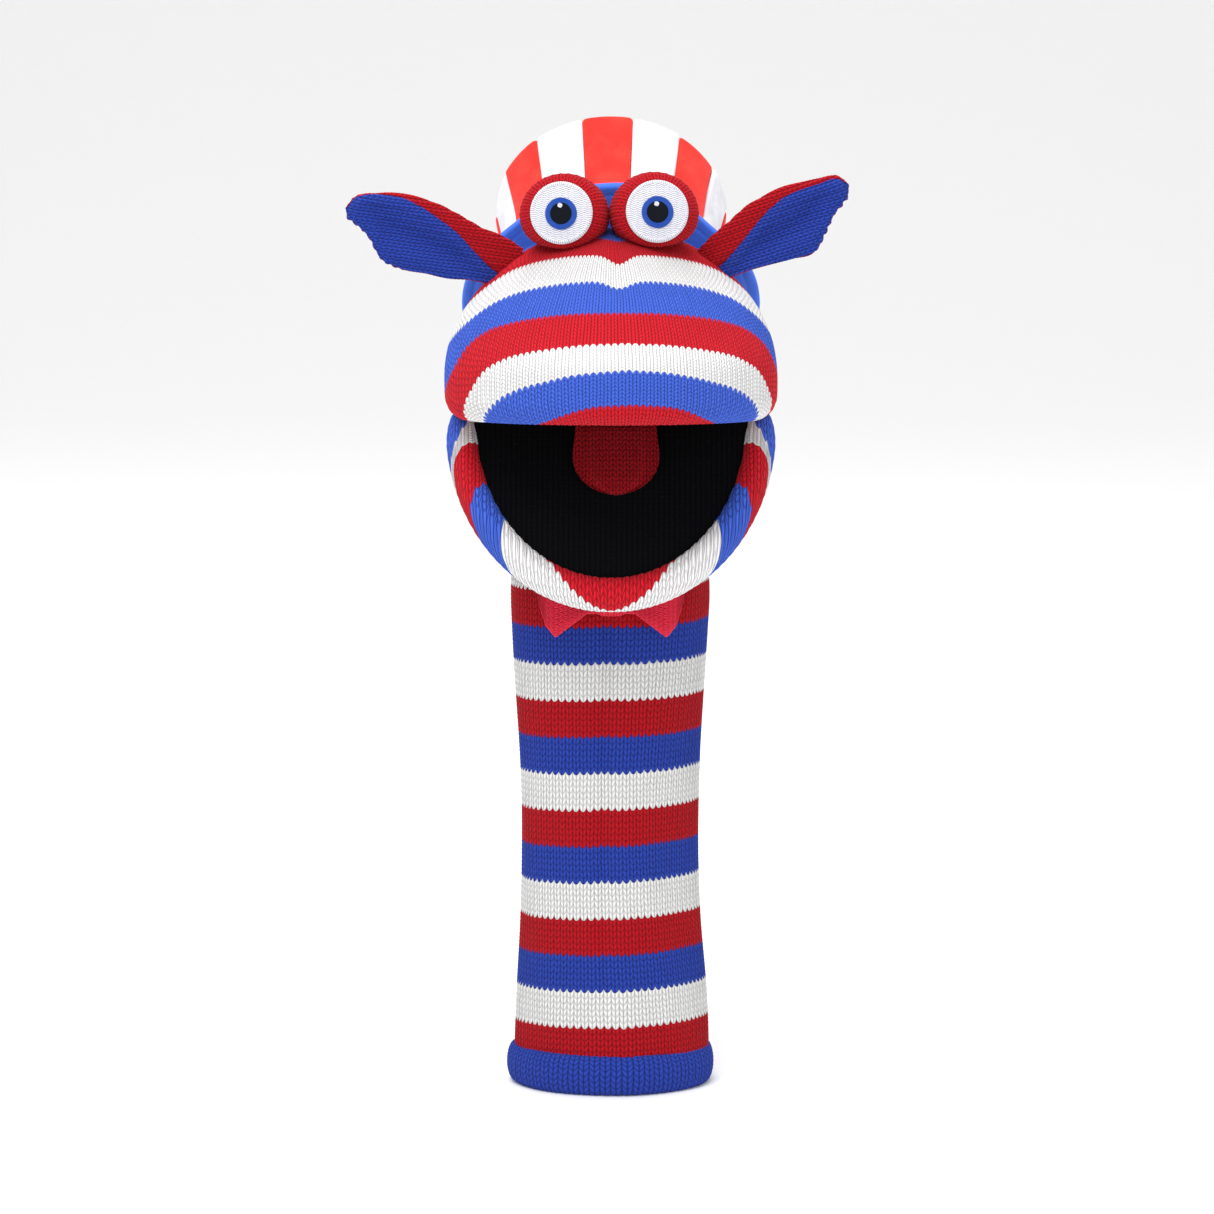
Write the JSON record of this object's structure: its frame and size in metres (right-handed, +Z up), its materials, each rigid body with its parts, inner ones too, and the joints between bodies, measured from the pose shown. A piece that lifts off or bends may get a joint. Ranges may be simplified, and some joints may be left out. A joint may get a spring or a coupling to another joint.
{
  "type": "sock puppet",
  "caption": "Knitted hand puppet in red, white and blue stripes with a moving mouth, tongue, raised eyes, leaf ears, bow tie and a striped top hat.",
  "frame": {"origin": "centre of the cuff's opening, at the cuff's lower rim", "axes": "+Z up along the sleeve, -Y the way the puppet's face looks, +X to the right of someone who faces the puppet"},
  "size_m": [0.2101, 0.2099, 0.399],
  "materials": {
    "knit_blue": "plain knit, royal blue",
    "knit_striped": "plain knit in red, white and blue stripes",
    "knit_red": "plain knit, red",
    "knit_bow": "plain knit, rose red",
    "filling": "fibre filling",
    "mouth_black": "black ribbed lining",
    "lining_cloth": "light lining cloth",
    "board": "stiff board",
    "thread_white": "satin stitch, white",
    "thread_blue": "satin stitch, blue",
    "thread_black": "satin stitch, black",
    "velour_red": "short velour, red",
    "velour_white": "short velour, white",
    "felt_blue": "smooth felt, bright blue"
  },
  "bodies": {
    "sleeve": {"cuff_hem": "knit_blue", "forearm_tube": "knit_striped"},
    "wrist": {"wrist_tube": "knit_striped"},
    "neck": {"neck_tube": "knit_striped", "bow_knot": "knit_bow", "bow_wing_left": "knit_bow", "bow_wing_right": "knit_bow"},
    "head": {"head_shell": "knit_striped", "head_skirt": "knit_striped", "head_stuffing": "filling", "finger_pocket": "lining_cloth", "palate_board": "board", "palate_lining": "mouth_black", "eye_cover_left": "knit_red", "eye_filling_left": "filling", "eye_patch_left": "thread_white", "eye_iris_left": "thread_blue", "eye_pupil_left": "thread_black", "eye_highlight_left": "thread_white", "eye_cover_right": "knit_red", "eye_filling_right": "filling", "eye_patch_right": "thread_white", "eye_iris_right": "thread_blue", "eye_pupil_right": "thread_black", "eye_highlight_right": "thread_white", "hat_panel_01": "velour_red", "hat_panel_02": "velour_white", "hat_panel_03": "velour_red", "hat_panel_04": "velour_white", "hat_panel_05": "velour_red", "hat_panel_06": "velour_white", "hat_panel_07": "velour_red", "hat_panel_08": "velour_white", "hat_panel_09": "velour_red", "hat_panel_10": "velour_white", "hat_panel_11": "velour_red", "hat_panel_12": "velour_white", "hat_panel_13": "velour_red", "hat_panel_14": "velour_white", "hat_top": "velour_red", "hat_filling": "filling", "hat_brim_upper": "felt_blue", "hat_brim_under": "felt_blue", "hat_brim_stiffener": "board"},
    "jaw": {"jaw_shell": "knit_striped", "jaw_stuffing": "filling", "jaw_board": "board", "jaw_lining": "mouth_black", "thumb_pocket": "lining_cloth"},
    "tongue": {"tongue_top": "knit_red", "tongue_underside": "knit_red"},
    "ear_left": {"ear_front_left": "knit_blue", "ear_wadding_left": "filling", "ear_back_left": "knit_red"},
    "ear_right": {"ear_front_right": "knit_blue", "ear_wadding_right": "filling", "ear_back_right": "knit_red"}
  },
  "joints": [
    {"name": "head_turn", "type": "hinge", "parent": "sleeve", "child": "wrist", "pos_m": [0, 0, 0.12], "axis": [0, 0, 1], "range_deg": [-50, 50]},
    {"name": "head_tilt", "type": "hinge", "parent": "wrist", "child": "neck", "pos_m": [0, 0, 0.15], "axis": [0, 1, 0], "range_deg": [-15, 15]},
    {"name": "head_nod", "type": "hinge", "parent": "neck", "child": "head", "pos_m": [0, 0, 0.2], "axis": [1, 0, 0], "range_deg": [-12, 20]},
    {"name": "jaw_open", "type": "hinge", "parent": "head", "child": "jaw", "pos_m": [0, -0.038, 0.283], "axis": [1, 0, 0], "range_deg": [-69, 3]},
    {"name": "tongue_lift", "type": "hinge", "parent": "jaw", "child": "tongue", "pos_m": [0, -0.03731, 0.27934], "axis": [-1, 0, 0], "range_deg": [0, 30]},
    {"name": "ear_left_flap", "type": "hinge", "parent": "head", "child": "ear_left", "pos_m": [-0.047, -0.039, 0.344], "axis": [0.2924, 0, 0.9563], "range_deg": [-20, 20]},
    {"name": "ear_right_flap", "type": "hinge", "parent": "head", "child": "ear_right", "pos_m": [0.047, -0.039, 0.344], "axis": [-0.454, 0, 0.891], "range_deg": [-20, 20]}
  ]
}
